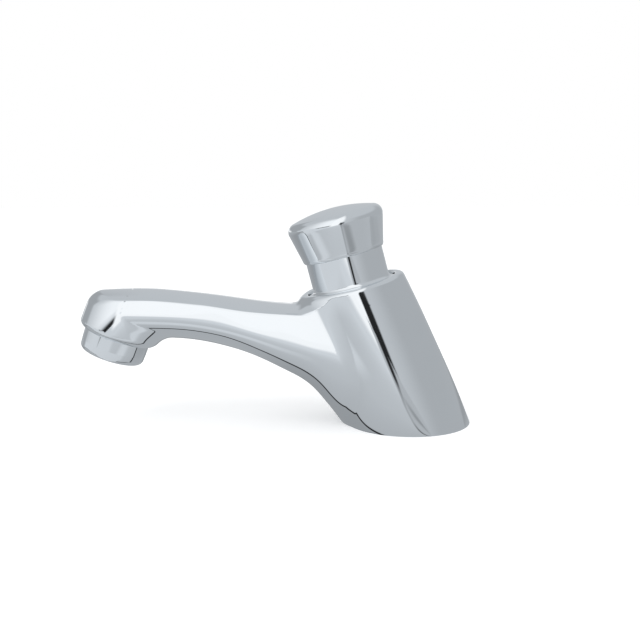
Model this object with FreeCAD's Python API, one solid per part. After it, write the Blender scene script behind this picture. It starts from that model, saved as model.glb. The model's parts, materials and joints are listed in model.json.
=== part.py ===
"""Self-closing basin tap: a tilted push-button on a tapered column with a long flat-topped spout.

Millimetres. Origin: axis of the round base at the deck plane. +Z up, spout to -Y, x = 0 is the mirror plane.
The button and cartridge are drawn about the button's own axis, with height 0 at the flange plane, and the
outlet about its own axis, with height 0 at the aerator's seam. Each is then carried to its place.
"""
import FreeCAD
import Part
import math
import os

os.makedirs("parts", exist_ok=True)

# body casting
BASE_R = 24.0            # round foot on the deck
REACH = 109.4            # foot axis to the middle of the aerator's seam
OUT_Z = 34.4             # height of that seam
OUT_TILT = 19.8          # the outlet leans this far forward of straight down
NOSE_R = 14.9            # round end of the spout at the seam
NOSE_TAPER = 1.1         # it is this much slimmer at its upper end
NOSE_LENGTH = 26.0
NOSE_LIP = 1.9           # round along its lower edge
NOSE_EDGE = 1.5          # round along its top edge
SPOUT_EDGE = 1.1         # round along the spout's top edges
FLANK = [(1.0, 0.36), (0.90, 0.63), (0.56, 0.90)]     # shares of width and depth down the spout's side
TILT = 14.8              # the button axis leans this far towards the spout
FLANGE_Y = -21.6         # centre of the column's top plane
FLANGE_Z = 52.55
RIM_R = 19.75            # column's top rim
RIM_H = 0.9              # the rim stands this far above the flange's edge
RIM_ROUND = 1.6
RIM_LEAD = 0.7           # rounded inner edge of the rim

# guide sleeve and button
FLANGE_R = 16.7
FLANGE_T = 2.2
FLANGE_FIT = 0.1
SLEEVE_R = 14.55
SLEEVE_BORE_R = 12.3
SLEEVE_TOP = 17.5
THREAD_R = 14.0          # M28 thread that holds the guide sleeve
SPIGOT_END = -10.0
CAP_GAP = 0.3            # button over sleeve
CAP_LOW_R = 15.35
CAP_LOW_H = 12.1
CAP_WIDE_R = 18.1
CAP_WIDE_H = 24.0
CAP_TOP_H = 29.9
CAP_DOME = 2.1           # rise of the domed top
CAP_SHOULDER = 3.05      # width of the rounded shoulder
CAP_CEILING = 26.0
BOSS_R = 5.6
BOSS_LOW = 22.4

# cartridge
BORE_R = 12.8            # cartridge bore in the column
BORE_END = -24.4
SHELF_H = -12.0
POCKET_R = 8.6           # inlet pocket under the valve seat
POCKET_END = -39.5
BARREL_R = 12.0
BARREL_TOP = 10.0
COLLAR_R = 12.4
CHAMBER_R = 9.4
CHAMBER_FLOOR = -13.0
OUTLET_R = 8.0
WAIST_R = 10.2
RING_GROOVE_R = 10.6
COLLAR_END = -23.6
WINDOW_R = 1.95
WINDOW_H = -18.0
RUN = 0.06               # radial running clearance
SEAT_BORE_R = 5.2
SEAT_LIP_H = -24.5
STEM_R = 3.0
STEM_THREAD_R = 2.5
STEM_GROOVE_R = 2.4
STEM_END = -31.4
PISTON_R = 9.0
PISTON_LOW = 4.9
PISTON_TOP = 8.1
SEAL_GROOVE_R = 7.6
SEAL_LOW = 5.5
SEAL_TOP = 7.3
POPPET_R = 7.0
POPPET_LOW = -28.5
POPPET_FACE = -26.5
SPRING_R = 7.4
SPRING_WIRE_R = 0.65
SPRING_QUARTERS = 22
NUT_FLATS = 8.0

# outlet
NOZZLE_R = 10.98         # M22x1 nozzle thread
NOZZLE_L = 4.4
NOZZLE_BORE_R = 8.6
AERATOR_R = 12.2
AERATOR_L = 8.4
AERATOR_FLATS = 22.4     # across the two spanner flats
MOUTH_R = 8.2
BELL_R = 9.9

# inlet and fixing
TAIL_R = 10.48           # G1/2 thread
TAIL_BORE_R = 7.0
TAIL_PORT_R = 5.4
TAIL_TOP = 9.2
TAIL_END = -52.0
TAIL_RELIEF = -34.0      # relief between the clamp thread and the connection thread
LEDGE_H = 2.0
SOCKET_TOP = 11.0
DECK_T = 18.0            # basin thickness drawn between foot and washer
GASKET_R_OUT = BASE_R - 2.5
GASKET_R_IN = BASE_R - 6.0
GASKET_T = 1.6
PIN_R = 2.49
PIN_Y = BASE_R * 0.6
CLAMP_R = BASE_R - 3.5
CLAMP_HOLE_R = 11.0
WASHER_R = BASE_R - 4.5
BACKNUT_FLATS = 27.0

V = FreeCAD.Vector
X_AXIS = V(1, 0, 0)
TILT_RAD = math.radians(TILT)
BUTTON_UP = V(0, -math.sin(TILT_RAD), math.cos(TILT_RAD))
BUTTON = FreeCAD.Placement(V(0, FLANGE_Y, FLANGE_Z), FreeCAD.Rotation(X_AXIS, TILT))
STRETCH = REACH / 109.4  # the distances out in the two lists below are for a reach of 109.4 mm
OUTLET = FreeCAD.Placement(V(0, -REACH, OUT_Z), FreeCAD.Rotation(X_AXIS, -OUT_TILT))

# column levels: centre y, centre z, share of the full tilt, radius
LEVELS = [
    (0.0, 0.0, 0.0, BASE_R),
    (-5.4, 14.0, 0.25, 23.2),
    (-11.1, 28.0, 0.52, 21.95),
    (-16.7, 41.5, 0.80, 20.8),
]
# spout stations: distance out, crown z, drop of the top edge, top half width, widest half width, keel z
STATIONS = [
    (12.0, 41.5, 1.8, 15.0, 18.6, 4.0),
    (22.0, 43.4, 1.7, 16.2, 18.7, 1.0),
    (29.0, 44.3, 1.6, 16.4, 18.2, 6.9),
    (36.0, 44.8, 1.5, 16.1, 17.5, 14.4),
    (46.0, 45.4, 1.6, 15.5, 16.3, 21.0),
    (58.0, 46.8, 2.0, 15.0, 15.5, 26.9),
    (70.0, 48.6, 2.15, 14.8, 15.0, 31.0),
    (84.0, 50.4, 2.35, 14.6, 14.8, 33.6),
    (97.0, 51.5, 2.4, 14.2, 14.5, 33.8),
    (104.0, 51.6, 2.4, 13.8, 14.1, 34.0),
]
CROWN_END = (126.0, 51.2)     # the crown's line runs on to here, past the nose
# spout waterway: distance out, z, half width, half height
WATERWAY = [
    (34.5, 30.6, 7.0, 3.0),
    (58.0, 36.0, 9.0, 5.0),
    (82.0, 41.9, 9.0, 5.0),
    (106.0, 43.6, 8.6, 4.8),
]


# drawing helpers
def moved(shape, place):
    """Copy of a shape, carried from its own axis to where it sits."""
    shape = shape.copy()
    if place is not None:
        shape.Placement = place.multiply(shape.Placement)
    return shape


def at(x, y):
    return FreeCAD.Placement(V(x, y, 0), FreeCAD.Rotation())


def line(a, b):
    return Part.makeLine(V(a[0], 0, a[1]), V(b[0], 0, b[1]))


def arc(a, m, b):
    return Part.Arc(V(a[0], 0, a[1]), V(m[0], 0, m[1]), V(b[0], 0, b[1])).toShape()


def turned(edges, place=None):
    """Solid of revolution about Z from edges drawn in the x-z plane."""
    solid = Part.Face(Part.Wire(edges)).revolve(V(0, 0, 0), V(0, 0, 1), 360)
    return moved(solid, place)


def revolve(points, place=None):
    """Solid of revolution about Z from the corners (r, z) of its half section."""
    closed = points + points[:1]
    return turned([line(a, b) for a, b in zip(closed, closed[1:])], place)


def tube(r_out, r_in, low, high, place=None):
    """Plain ring or tube about Z."""
    return revolve([(r_in, low), (r_out, low), (r_out, high), (r_in, high)], place)


def rod(radius, low, high, place=None):
    """Plain cylinder about Z."""
    return moved(Part.makeCylinder(radius, high - low, V(0, 0, low)), place)


def o_ring(major, minor, height, place=None):
    return moved(Part.makeTorus(major, minor, V(0, 0, height)), place)


def hexagon(flats, low, high, bore, place=None):
    """Hexagon nut with both outer corners turned back."""
    corner = flats / 2 / math.cos(math.pi / 6)
    drop = (corner - flats / 2) * 0.6
    points = []
    for i in range(7):
        a = i * math.pi / 3
        points.append(V(corner * math.cos(a), corner * math.sin(a), low))
    prism = Part.Face(Part.makePolygon(points)).extrude(V(0, 0, high - low))
    blank = revolve([
        (0, low), (flats / 2, low), (corner, low + drop),
        (corner, high - drop), (flats / 2, high), (0, high),
    ])
    return moved(prism.common(blank).cut(rod(bore, low - 1, high + 1)), place)


# body casting
def column():
    """Tapered column: level circle at the foot, leaning circles above it, and a rounded top rim."""
    wires = []
    for y, z, part, radius in LEVELS:
        angle = TILT_RAD * part
        normal = V(0, -math.sin(angle), math.cos(angle))
        wires.append(Part.Wire(Part.makeCircle(radius, V(0, y, z), normal)))
    top = V(0, FLANGE_Y, FLANGE_Z) + BUTTON_UP * RIM_H
    wires.append(Part.Wire(Part.makeCircle(RIM_R, top, BUTTON_UP)))
    solid = Part.makeLoft(wires, True, False)
    rim = [e for e in solid.Edges if abs(e.CenterOfMass.z - top.z) < 0.3 and e.BoundBox.XLength > 2 * RIM_R - 1]
    return solid.makeFillet(RIM_ROUND, rim)


def spout_section(out, crown, drop, half_top, half_wide, keel):
    """Closed section of the spout: crowned top, small corner rounds, flanks that curve under to a rounded keel."""
    y = -STRETCH * out
    edge = crown - drop
    r = SPOUT_EDGE
    bow = r * (1 - math.sqrt(0.5))
    side = [(half_wide * w, edge - (edge - keel) * d) for w, d in FLANK]
    top_l = V(-half_top + r, y, edge)
    top_r = V(half_top - r, y, edge)
    side_l = V(-half_top, y, edge - r)
    side_r = V(half_top, y, edge - r)
    right = Part.BSplineCurve()
    right.interpolate([side_r] + [V(x, y, z) for x, z in side] + [V(0, y, keel)],
                      InitialTangent=V(0.04, 0, -1), FinalTangent=V(-1, 0, 0))
    left = Part.BSplineCurve()
    left.interpolate([V(0, y, keel)] + [V(-x, y, z) for x, z in reversed(side)] + [side_l],
                     InitialTangent=V(-1, 0, 0), FinalTangent=V(0.04, 0, 1))
    return Part.Wire([
        Part.Arc(top_l, V(0, y, crown), top_r).toShape(),
        Part.Arc(top_r, V(half_top - bow, y, edge - bow), side_r).toShape(),
        right.toShape(),
        left.toShape(),
        Part.Arc(side_l, V(-half_top + bow, y, edge - bow), top_l).toShape(),
    ])


def above_crown():
    """Everything above the crowned top of the nose, for cutting the round end to the spout's own crown."""
    over = 4
    ends = [s[:4] for s in STATIONS[-4:]]
    ends.append(CROWN_END + ends[-1][2:])
    wires = []
    for out, crown, drop, half_top in ends:
        y = -STRETCH * out
        wide = half_top + over
        low = crown - drop * (wide / half_top) ** 2
        high = crown + NOSE_LENGTH
        corners = [V(wide, y, low), V(wide, y, high), V(-wide, y, high), V(-wide, y, low)]
        sides = [Part.makeLine(a, b) for a, b in zip(corners, corners[1:])]
        wires.append(Part.Wire([Part.Arc(corners[3], V(0, y, crown), corners[0]).toShape()] + sides))
    return Part.makeLoft(wires, True, False)


def nose():
    """Round end of the spout, along the outlet's axis, with its lower and top edges rounded."""
    blank = Part.makeCone(NOSE_R, NOSE_R - NOSE_TAPER, NOSE_LENGTH)
    lower = [e for e in blank.Edges if abs(e.CenterOfMass.z) < 0.01]
    end = moved(blank.makeFillet(NOSE_LIP, lower), OUTLET).cut(above_crown())
    top = [e for e in end.Edges if e.BoundBox.ZMin > OUT_Z + 5 and e.BoundBox.XLength > NOSE_R]
    return end.makeFillet(NOSE_EDGE, top)


def rim_lead_in():
    """Cuts the rounded inner edge of the column's rim."""
    inner = FLANGE_R + FLANGE_FIT
    low = RIM_H - RIM_LEAD
    outer = inner + RIM_LEAD
    return turned([
        line((inner - 1, low), (inner, low)),
        arc((inner, low), (inner + 0.3 * RIM_LEAD, RIM_H - 0.3 * RIM_LEAD), (outer, RIM_H)),
        line((outer, RIM_H), (outer, RIM_H + 2)),
        line((outer, RIM_H + 2), (inner - 1, RIM_H + 2)),
        line((inner - 1, RIM_H + 2), (inner - 1, low)),
    ], BUTTON)


def inlet_passage():
    """Drilled way from the tail socket up into the inlet pocket."""
    start = V(0, 1.5, SOCKET_TOP - 2)
    end = V(0, FLANGE_Y + 10.1, SOCKET_TOP + 10)
    return Part.makeCylinder(4.6, (end - start).Length, start, end - start)


def outlet_port():
    """Flat port from the valve gallery into the waterway."""
    wide = 14.0
    tall = 4.2
    return moved(Part.makeBox(wide, 13, tall, V(-wide / 2, -24, WINDOW_H - tall / 2)), BUTTON)


def waterway():
    """Cored passage from the valve gallery to the outlet."""
    wires = []
    for out, z, half_w, half_h in WATERWAY:
        y = -STRETCH * out
        wires.append(Part.Wire(Part.Ellipse(V(half_w, y, z), V(0, y, z + half_h), V(0, y, z)).toShape()))
    return Part.makeLoft(wires, True, False)


def tap_body():
    """Casting: column, spout and nose in one, with every bore, groove and socket cut in it."""
    spout = Part.makeLoft([spout_section(*s) for s in STATIONS], True, False)
    solid = column().fuse([spout, nose()]).removeSplitter()
    solid = solid.common(Part.makeBox(4 * BASE_R, 2 * REACH, 4 * BASE_R, V(-2 * BASE_R, -1.5 * REACH, 0)))
    cuts = [
        rod(FLANGE_R + FLANGE_FIT, -FLANGE_T, 5, BUTTON),
        rim_lead_in(),
        rod(THREAD_R, SHELF_H, 0, BUTTON),
        rod(BORE_R, BORE_END, SHELF_H + 1, BUTTON),
        rod(POCKET_R, POCKET_END, BORE_END + 1, BUTTON),
        rod(TAIL_R, -1, SOCKET_TOP),
        inlet_passage(),
        outlet_port(),
        waterway(),
        rod(NOZZLE_BORE_R, -1, 9, OUTLET),
        tube(GASKET_R_OUT, GASKET_R_IN, -1, GASKET_T),
        rod(PIN_R + 0.01, -1, 6, at(0, PIN_Y)),
    ]
    for cut in cuts:
        solid = solid.cut(cut)
    return solid.fuse(tube(NOZZLE_R, NOZZLE_BORE_R, -NOZZLE_L, 0.5, OUTLET)).removeSplitter()


# push-button cartridge, drawn about the button's axis
def guide_sleeve():
    """Flange and fixed sleeve that the button slides over, with the screwed spigot below."""
    spigot_r = THREAD_R - 0.03
    edges = [
        line((SLEEVE_BORE_R, SPIGOT_END), (spigot_r, SPIGOT_END)),
        line((spigot_r, SPIGOT_END), (spigot_r, -FLANGE_T)),
        line((spigot_r, -FLANGE_T), (FLANGE_R, -FLANGE_T)),
        line((FLANGE_R, -FLANGE_T), (FLANGE_R, -0.25)),
        arc((FLANGE_R, -0.25), (FLANGE_R - 0.08, -0.07), (FLANGE_R - 0.3, 0.02)),
        line((FLANGE_R - 0.3, 0.02), (SLEEVE_R + 1.1, 0.55)),
        arc((SLEEVE_R + 1.1, 0.55), (SLEEVE_R + 0.28, 0.98), (SLEEVE_R, 1.75)),
        line((SLEEVE_R, 1.75), (SLEEVE_R, SLEEVE_TOP - 0.5)),
        line((SLEEVE_R, SLEEVE_TOP - 0.5), (SLEEVE_R - 0.5, SLEEVE_TOP)),
        line((SLEEVE_R - 0.5, SLEEVE_TOP), (SLEEVE_BORE_R, SLEEVE_TOP)),
        line((SLEEVE_BORE_R, SLEEVE_TOP), (SLEEVE_BORE_R, SPIGOT_END)),
    ]
    groove = tube(12.95, SLEEVE_BORE_R - 1, 13.0, 14.05)
    return moved(turned(edges).cut(groove), BUTTON)


def cartridge_barrel():
    """Damping chamber above, outlet chamber with four windows below, one clamped flange between."""
    flange_r = THREAD_R - 0.1
    body = revolve([
        (CHAMBER_R, BARREL_TOP), (CHAMBER_R, CHAMBER_FLOOR), (STEM_R + RUN, CHAMBER_FLOOR), (STEM_R + RUN, -15.0),
        (OUTLET_R, -15.0), (OUTLET_R, -20.5), (CHAMBER_R, -20.5), (CHAMBER_R, COLLAR_END), (COLLAR_R, COLLAR_END),
        (COLLAR_R, -23.3), (RING_GROOVE_R, -23.3), (RING_GROOVE_R, -20.9), (COLLAR_R, -20.9), (COLLAR_R, -20.2),
        (WAIST_R, -20.2), (WAIST_R, -15.9), (COLLAR_R, -15.9), (COLLAR_R, -15.2), (RING_GROOVE_R, -15.2),
        (RING_GROOVE_R, -12.8), (COLLAR_R, -12.8), (COLLAR_R, SHELF_H), (flange_r, SHELF_H), (flange_r, SPIGOT_END),
        (BARREL_R, SPIGOT_END), (BARREL_R, BARREL_TOP),
    ])
    for i in range(4):
        a = (i + 0.5) * math.pi / 2
        body = body.cut(Part.makeCylinder(WINDOW_R, 14, V(0, 0, WINDOW_H), V(math.cos(a), math.sin(a), 0)))
    return moved(body, BUTTON)


def barrel_o_rings():
    return Part.makeCompound([o_ring(11.7, 1.1, h, BUTTON) for h in (-14.0, -22.1)])


def stem_gland():
    """Bush that closes the damping chamber and guides the stem."""
    bore = STEM_R + RUN
    skirt = CHAMBER_R - 0.02
    return revolve([
        (bore, 8.5), (skirt, 8.5), (skirt, BARREL_TOP), (12.2, BARREL_TOP), (12.2, 13.0),
        (bore, 13.0), (bore, 11.9), (5.5, 11.9), (5.5, 9.4), (bore, 9.4),
    ], BUTTON)


def stem_seal():
    section = 1.22
    return o_ring(STEM_R + 0.05 + section, section, 10.65, BUTTON)


def gland_circlip():
    """Open retaining ring above the gland, with two eyes for the pliers."""
    low = 13.02
    high = 14.0
    clip = tube(12.9, 10.7, low, high).cut(Part.makeBox(6, 8, 3, V(-3, 8.5, low - 0.6)))
    for side in (-1, 1):
        eye = at(3.6 * side, 10.3)
        clip = clip.fuse(rod(1.5, low, high, eye)).cut(rod(0.6, low - 1, high + 1, eye))
    return moved(clip, BUTTON)


def seat_ring():
    """Valve seat in the foot of the barrel, with a raised lip towards the poppet."""
    rim = CHAMBER_R - 0.02
    return revolve([
        (SEAT_BORE_R, -20.55), (rim, -20.55), (rim, COLLAR_END), (SEAT_BORE_R + 1.0, COLLAR_END),
        (SEAT_BORE_R + 0.7, SEAT_LIP_H), (SEAT_BORE_R, SEAT_LIP_H),
    ], BUTTON)


def stem():
    """Turned stem: screwed ends, a collar that the piston bears on, a groove for its clip."""
    top = CAP_CEILING + 2.2
    low_thread = -24.56
    high_thread = BOSS_LOW - 2.0
    return revolve([
        (0, STEM_END), (STEM_THREAD_R - 0.5, STEM_END), (STEM_THREAD_R, STEM_END + 0.5), (STEM_THREAD_R, low_thread),
        (STEM_R, low_thread), (STEM_R, 4.1), (STEM_GROOVE_R, 4.1), (STEM_GROOVE_R, PISTON_LOW), (STEM_R, PISTON_LOW),
        (STEM_R, SEAL_TOP), (4.1, SEAL_TOP), (4.1, PISTON_TOP), (STEM_R, PISTON_TOP), (STEM_R, high_thread),
        (STEM_THREAD_R, high_thread), (STEM_THREAD_R, top), (0, top),
    ], BUTTON)


def piston():
    return revolve([
        (STEM_R, PISTON_LOW), (PISTON_R, PISTON_LOW), (PISTON_R, SEAL_LOW), (SEAL_GROOVE_R, SEAL_LOW),
        (SEAL_GROOVE_R, SEAL_TOP), (PISTON_R, SEAL_TOP), (PISTON_R, PISTON_TOP), (4.2, PISTON_TOP),
        (4.2, SEAL_TOP), (STEM_R, SEAL_TOP),
    ], BUTTON)


def piston_seal():
    """Lip ring in the piston's groove, open side down."""
    lip = CHAMBER_R - RUN
    return revolve([
        (SEAL_GROOVE_R, SEAL_TOP), (SEAL_GROOVE_R, SEAL_LOW), (8.2, SEAL_LOW), (8.4, 6.5), (9.05, 5.7),
        (lip, 5.8), (lip, 6.2), (PISTON_R, SEAL_TOP),
    ], BUTTON)


def piston_clip():
    """Open retaining ring in the stem's groove, under the piston."""
    clip = tube(4.8, STEM_GROOVE_R, 4.12, 4.88)
    return moved(clip.cut(Part.makeBox(3.4, 6, 3, V(-1.7, 0, 3.4))), BUTTON)


def poppet():
    """Dished holder for the valve washer."""
    inside = POPPET_R - 0.7
    return revolve([
        (STEM_THREAD_R, POPPET_LOW), (5.4, POPPET_LOW), (POPPET_R, POPPET_LOW + 0.8), (POPPET_R, -25.3),
        (inside, -25.3), (inside, POPPET_FACE), (STEM_THREAD_R, POPPET_FACE),
    ], BUTTON)


def poppet_washer():
    return tube(POPPET_R - 0.72, STEM_THREAD_R, POPPET_FACE, SEAT_LIP_H - 0.06, BUTTON)


def poppet_nut():
    return hexagon(NUT_FLATS, POPPET_LOW - 2.1, POPPET_LOW, STEM_THREAD_R, BUTTON)


def stem_locknut():
    return hexagon(NUT_FLATS, BOSS_LOW - 2.0, BOSS_LOW, STEM_THREAD_R, BUTTON)


def button_cap():
    """Push-button: flared skirt over the sleeve, rounded shoulder, slightly domed top, screwed boss inside."""
    bore = SLEEVE_R + CAP_GAP
    shoulder_r = CAP_WIDE_R - CAP_SHOULDER
    shoulder_h = CAP_TOP_H - CAP_DOME
    dome_r = (shoulder_r ** 2 + CAP_DOME ** 2) / (2 * CAP_DOME)
    half = math.asin(shoulder_r / dome_r) / 2
    wide = (CAP_WIDE_R - 0.07, CAP_WIDE_H)
    lip = (bore + 0.25, CAP_LOW_H)
    low = (CAP_LOW_R + 0.22, CAP_LOW_H + 1.4)
    hole_top = CAP_TOP_H - 1.6
    mid_dome = (dome_r * math.sin(half), CAP_TOP_H - dome_r * (1 - math.cos(half)))
    return turned([
        line((0, hole_top + 0.4), (STEM_THREAD_R, hole_top)),
        line((STEM_THREAD_R, hole_top), (STEM_THREAD_R, BOSS_LOW)),
        line((STEM_THREAD_R, BOSS_LOW), (BOSS_R, BOSS_LOW)),
        line((BOSS_R, BOSS_LOW), (BOSS_R, CAP_CEILING)),
        line((BOSS_R, CAP_CEILING), (bore, CAP_CEILING)),
        line((bore, CAP_CEILING), (bore, CAP_LOW_H + 0.15)),
        arc((bore, CAP_LOW_H + 0.15), (bore + 0.12, CAP_LOW_H + 0.02), lip),
        arc(lip, (CAP_LOW_R + 0.02, CAP_LOW_H + 0.45), low),
        line(low, wide),
        arc(wide, (CAP_WIDE_R - 0.72, CAP_WIDE_H + 2.3), (shoulder_r, shoulder_h)),
        arc((shoulder_r, shoulder_h), mid_dome, (0, CAP_TOP_H)),
        line((0, CAP_TOP_H), (0, hole_top + 0.4)),
    ], BUTTON)


def return_spring():
    """Open coil between the chamber floor and the piston, swept along quarter-turn arcs."""
    low = CHAMBER_FLOOR + SPRING_WIRE_R + 0.05
    high = PISTON_LOW - SPRING_WIRE_R - 0.05
    rise = (high - low) / SPRING_QUARTERS
    points = []
    for i in range(2 * SPRING_QUARTERS + 1):
        a = i * math.pi / 4
        points.append(V(SPRING_R * math.cos(a), SPRING_R * math.sin(a), low + rise * i / 2))
    arcs = []
    for i in range(0, 2 * SPRING_QUARTERS, 2):
        arcs.append(Part.Arc(points[i], points[i + 1], points[i + 2]).toShape())
    tangent = V(0, 1, rise / (SPRING_R * math.pi / 2))
    circle = Part.Wire(Part.makeCircle(SPRING_WIRE_R, points[0], tangent))
    coil = Part.Wire(arcs).makePipeShell([circle], True, False)
    print("least gap between turns", round(4 * rise - 2 * SPRING_WIRE_R, 2))
    return moved(coil, BUTTON)


# outlet, drawn about the outlet's axis
def aerator_housing():
    """Screwed ring under the nose: thread inside, two spanner flats, rounded lower edge."""
    low = -AERATOR_L
    step = low + 0.9
    high = -0.15
    thread_r = NOZZLE_R + 0.01
    shelf = -6.2
    foot_r = AERATOR_R - 1.9
    ring = turned([
        line((thread_r, high), (AERATOR_R - 0.2, high)),
        line((AERATOR_R - 0.2, high), (AERATOR_R, high - 0.2)),
        line((AERATOR_R, high - 0.2), (AERATOR_R - 0.25, low + 1.9)),
        arc((AERATOR_R - 0.25, low + 1.9), (AERATOR_R - 0.75, low + 0.7), (foot_r, low)),
        line((foot_r, low), (MOUTH_R, low)),
        line((MOUTH_R, low), (MOUTH_R, step)),
        line((MOUTH_R, step), (BELL_R, step)),
        line((BELL_R, step), (BELL_R, shelf)),
        line((BELL_R, shelf), (thread_r, shelf)),
        line((thread_r, shelf), (thread_r, high)),
    ])
    depth = 3
    for x in (AERATOR_FLATS / 2, -AERATOR_FLATS / 2 - depth):
        ring = ring.cut(Part.makeBox(depth, 12, 4.2, V(x, -6, low - 0.1)))
    return moved(ring, OUTLET)


def aerator_washer():
    return tube(10.9, 8.7, -5.5, -NOZZLE_L, OUTLET)


def aerator_insert():
    """Plastic jet former: top flange, perforated plate, bell below it."""
    low = -AERATOR_L + 0.9
    body = revolve([
        (0, -3.4), (MOUTH_R, -3.4), (MOUTH_R, -5.5), (10.7, -5.5), (10.7, -6.2), (BELL_R - 0.2, -6.2),
        (BELL_R - 0.2, low), (8.5, low), (8.5, -5.2), (0, -5.2),
    ])
    for i in range(12):
        a = i * math.pi / 6
        body = body.cut(rod(0.8, -7, -2, at(6.2 * math.cos(a), 6.2 * math.sin(a))))
    return moved(body, OUTLET)


def aerator_screen():
    """Thin crossed grille in the bell's mouth."""
    low = -AERATOR_L + 1.0
    pitch = 2.0
    bar = 0.4
    bars = []
    for i in range(-3, 4):
        half = math.sqrt(7.9 ** 2 - (i * pitch) ** 2)
        bars.append(Part.makeBox(bar, 2 * half, 0.35, V(i * pitch - bar / 2, -half, low)))
        bars.append(Part.makeBox(2 * half, bar, 0.35, V(-half, i * pitch - bar / 2, low + 0.3)))
    return moved(tube(8.48, 7.6, low, low + 0.7).fuse(bars), OUTLET)


# inlet and fixing, drawn about the foot's axis
def inlet_tail():
    """Screwed shank: socket thread above, bore with a ledge for the flow regulator, chamfered end."""
    root = TAIL_R - 1.2
    return revolve([
        (TAIL_PORT_R, TAIL_TOP), (TAIL_PORT_R, LEDGE_H), (TAIL_BORE_R, LEDGE_H), (TAIL_BORE_R, TAIL_END),
        (root, TAIL_END), (TAIL_R, TAIL_END + 1.2), (TAIL_R, TAIL_RELIEF), (root, TAIL_RELIEF),
        (root, TAIL_RELIEF + 2.0), (TAIL_R, TAIL_RELIEF + 2.0), (TAIL_R, TAIL_TOP - 1.0), (TAIL_R - 1.0, TAIL_TOP),
    ])


def tail_o_ring():
    return o_ring(7.4, 0.9, TAIL_TOP + 0.9)


def flow_regulator():
    rim = TAIL_BORE_R - 0.02
    return revolve([(2.0, LEDGE_H), (rim, LEDGE_H), (rim, -2.0), (3.2, -2.0)])


def inlet_filter():
    """Basket strainer pushed into the shank's end."""
    low = TAIL_END
    rim = TAIL_BORE_R - 0.02
    cup = revolve([
        (rim, low), (rim, low + 1.4), (5.6, low + 1.4), (4.4, low + 11.0), (0, low + 11.0),
        (0, low + 10.2), (3.7, low + 10.2), (5.0, low),
    ])
    for i in range(6):
        slot = Part.makeBox(8, 1.2, 6.4, V(0, -0.6, low + 2.6))
        slot.rotate(V(0, 0, 0), V(0, 0, 1), 60 * i)
        cup = cup.cut(slot)
    return cup


def base_gasket():
    return tube(GASKET_R_OUT - 0.05, GASKET_R_IN + 0.05, 0, GASKET_T)


def anti_rotation_pin():
    tip = PIN_R - 0.8
    return revolve([(0, -7.0), (tip, -7.0), (PIN_R, -6.2), (PIN_R, 5.9), (0, 5.9)], at(0, PIN_Y))


def clamp_rubber():
    return tube(CLAMP_R, CLAMP_HOLE_R, -DECK_T - 2.5, -DECK_T)


def clamp_washer():
    return tube(WASHER_R, CLAMP_HOLE_R, -DECK_T - 4.0, -DECK_T - 2.5)


def backnut():
    return hexagon(BACKNUT_FLATS, -DECK_T - 12.0, -DECK_T - 4.0, TAIL_R + RUN)


PARTS = [
    tap_body, guide_sleeve, cartridge_barrel, barrel_o_rings, stem_gland, stem_seal, gland_circlip, seat_ring,
    stem, piston, piston_seal, piston_clip, poppet, poppet_washer, poppet_nut, stem_locknut, button_cap,
    return_spring, aerator_housing, aerator_washer, aerator_insert, aerator_screen, inlet_tail, tail_o_ring,
    flow_regulator, inlet_filter, base_gasket, anti_rotation_pin, clamp_rubber, clamp_washer, backnut,
]

for make in PARTS:
    shape = make()
    name = make.__name__
    print(name, "valid", shape.isValid(), "solids", len(shape.Solids), "cm3", round(shape.Volume / 1000, 3))
    shape.exportStep("parts/" + name + ".step")
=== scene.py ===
import json
import math

import bmesh
import bpy
import numpy as np
from mathutils import Matrix, Vector


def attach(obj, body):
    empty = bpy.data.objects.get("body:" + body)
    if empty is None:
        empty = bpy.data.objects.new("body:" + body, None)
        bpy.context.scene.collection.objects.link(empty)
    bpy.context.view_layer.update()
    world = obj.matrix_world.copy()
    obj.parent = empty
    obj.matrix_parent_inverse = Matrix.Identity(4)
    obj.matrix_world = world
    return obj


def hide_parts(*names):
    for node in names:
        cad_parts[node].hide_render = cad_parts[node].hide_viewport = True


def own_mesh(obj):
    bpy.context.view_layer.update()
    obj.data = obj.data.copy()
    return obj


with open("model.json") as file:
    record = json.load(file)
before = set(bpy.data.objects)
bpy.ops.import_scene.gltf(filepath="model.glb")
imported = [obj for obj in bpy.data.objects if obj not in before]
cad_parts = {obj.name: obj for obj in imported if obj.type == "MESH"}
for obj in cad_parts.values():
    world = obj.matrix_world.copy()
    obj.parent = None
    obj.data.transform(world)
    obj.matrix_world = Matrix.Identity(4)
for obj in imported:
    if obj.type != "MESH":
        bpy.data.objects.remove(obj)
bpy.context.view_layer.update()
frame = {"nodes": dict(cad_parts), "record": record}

MM = 0.001

# the tap's shape, in millimetres: +Z up, spout to -Y, x = 0 is the mirror plane
TILT = math.radians(14.8)          # the button leans forward
OUT_TILT = math.radians(19.8)      # the outlet points back a little
FLANGE = np.array([0.0, -21.6, 52.55])
BUTTON_UP = np.array([0.0, -math.sin(TILT), math.cos(TILT)])
OUTLET = np.array([0.0, -109.4, 34.4])
OUTLET_UP = np.array([0.0, math.sin(OUT_TILT), math.cos(OUT_TILT)])
RIM_H = 0.9              # the column's rim stands this much above the flange plane
RIM_ROUND = 1.6
RECESS_R = 16.8          # recess in the rim for the sleeve's flange
RECESS_LIP = 0.7
BORE_R = 12.8            # bore for the cartridge
BORE_DEPTH = 24.4
FLANGE_EDGE = 16.45
FLANGE_T = 2.2
FLANGE_DROP = 0.25       # the flange's rounded edge starts this far below the flange plane
SLEEVE_R = 14.55
SLEEVE_TOP = 17.5
SLEEVE_WALL = 2.25
SLEEVE_BEVEL = 0.5
CAP_LOW_R = 15.35
CAP_LOW_H = 12.1
CAP_WIDE_R = 18.1
CAP_WIDE_H = 24.0
CAP_TOP_H = 29.9
CAP_DOME = 2.1           # height of the domed top
CAP_SHOULDER = 3.05      # the dome's edge lies this far in from the cap's widest radius
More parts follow.
